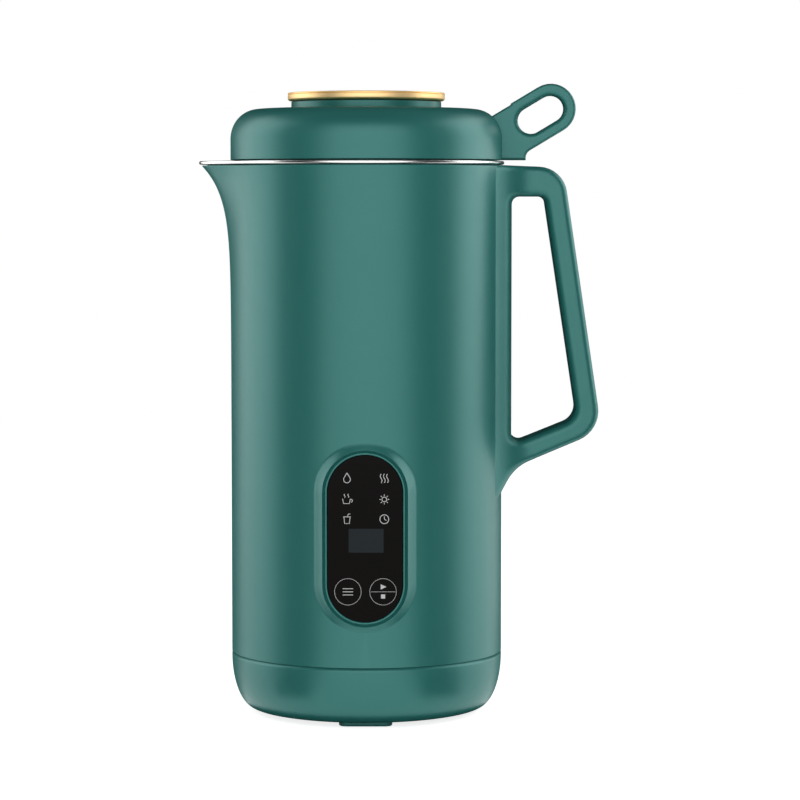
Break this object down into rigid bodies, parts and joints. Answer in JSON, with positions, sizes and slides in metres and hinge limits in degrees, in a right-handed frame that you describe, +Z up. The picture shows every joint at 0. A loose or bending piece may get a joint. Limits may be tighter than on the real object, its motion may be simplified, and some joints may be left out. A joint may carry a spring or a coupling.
{
  "type": "nut milk maker",
  "caption": "Jug-shaped nut milk maker with a heated steel cup, bottom-driven blades, a spout, a loop handle, a touch panel and a lift-off lid.",
  "frame": {"origin": "on the table, under the middle of the object's length from spout tip to handle and of its depth", "axes": "+Z up along the jug's axis, the spout points to -X, the handle to +X and the touch panel faces -Y"},
  "size_m": [0.1592, 0.111, 0.2504],
  "materials": {
    "green_plastic": "deep green satin moulded plastic",
    "brushed_steel": "food-grade stainless steel, fine turned grain",
    "turned_steel": "plain bright steel",
    "rose_gold": "polished rose-gold plating",
    "black_gloss": "gloss black touch panel lens",
    "black_plastic": "fine-grained black plastic",
    "white_plastic": "white moulded plastic",
    "silicone": "soft translucent grey silicone",
    "display_grey": "unlit display face",
    "circuit_board": "green solder mask",
    "copper": "enamelled copper wire and copper bars",
    "lamination_steel": "stacked steel sheet",
    "brass": "plain brass",
    "carbon": "pressed carbon",
    "aluminium": "plain aluminium",
    "glass_grey": "grey capsule"
  },
  "bodies": {
    "jug": {"blade_seat": "brushed_steel", "bottom_cover": "green_plastic", "carbon_brush_left": "carbon", "carbon_brush_right": "carbon", "case_screw_1": "turned_steel", "case_screw_2": "turned_steel", "case_screw_3": "turned_steel", "display_module": "display_grey", "field_coil_front": "copper", "field_coil_rear": "copper", "filter_capacitor": "aluminium", "foot_front": "green_plastic", "foot_rear_left": "green_plastic", "foot_rear_right": "green_plastic", "handle": "green_plastic", "handle_screw_lower": "turned_steel", "handle_screw_upper": "turned_steel", "heater_plate": "aluminium", "heater_relay": "white_plastic", "heating_tube": "turned_steel", "inlet_pin_earth": "brass", "inlet_pin_line": "brass", "inlet_pin_neutral": "brass", "inner_cup": "brushed_steel", "lower_bearing": "turned_steel", "lower_bracket": "black_plastic", "menu_key_spring": "turned_steel", "motor_chassis": "black_plastic", "outer_shell": "green_plastic", "panel_lens": "black_gloss", "power_board": "circuit_board", "power_inlet": "black_plastic", "reed_switch": "glass_grey", "seat_nut": "brass", "shaft_bush": "brass", "shaft_seal": "silicone", "start_key_spring": "turned_steel", "stator_core": "lamination_steel", "temperature_sensor": "brass", "touch_board": "circuit_board", "upper_bearing": "turned_steel", "upper_bracket": "black_plastic"},
    "rotor": {"armature_core": "lamination_steel", "armature_winding": "copper", "blade_lower": "brushed_steel", "blade_nut": "turned_steel", "blade_upper": "brushed_steel", "commutator": "copper", "cooling_fan": "black_plastic", "motor_shaft": "turned_steel"},
    "lid": {"cap_insert": "green_plastic", "cap_neck": "green_plastic", "cap_trim_disc": "rose_gold", "interlock_magnet": "turned_steel", "lid_bolt": "brushed_steel", "lid_liner": "black_plastic", "lid_loop": "green_plastic", "lid_seal": "silicone", "lid_shell": "green_plastic"}
  },
  "joints": [
    {"name": "lid_lift", "type": "slide", "parent": "jug", "child": "lid", "axis": [0, 0, 1], "range_m": [0, 0.12]},
    {"name": "rotor_spin", "type": "hinge", "parent": "jug", "child": "rotor", "pos_m": [-0.0129, 0, 0.05], "axis": [0, 0, 1], "continuous": true}
  ]
}
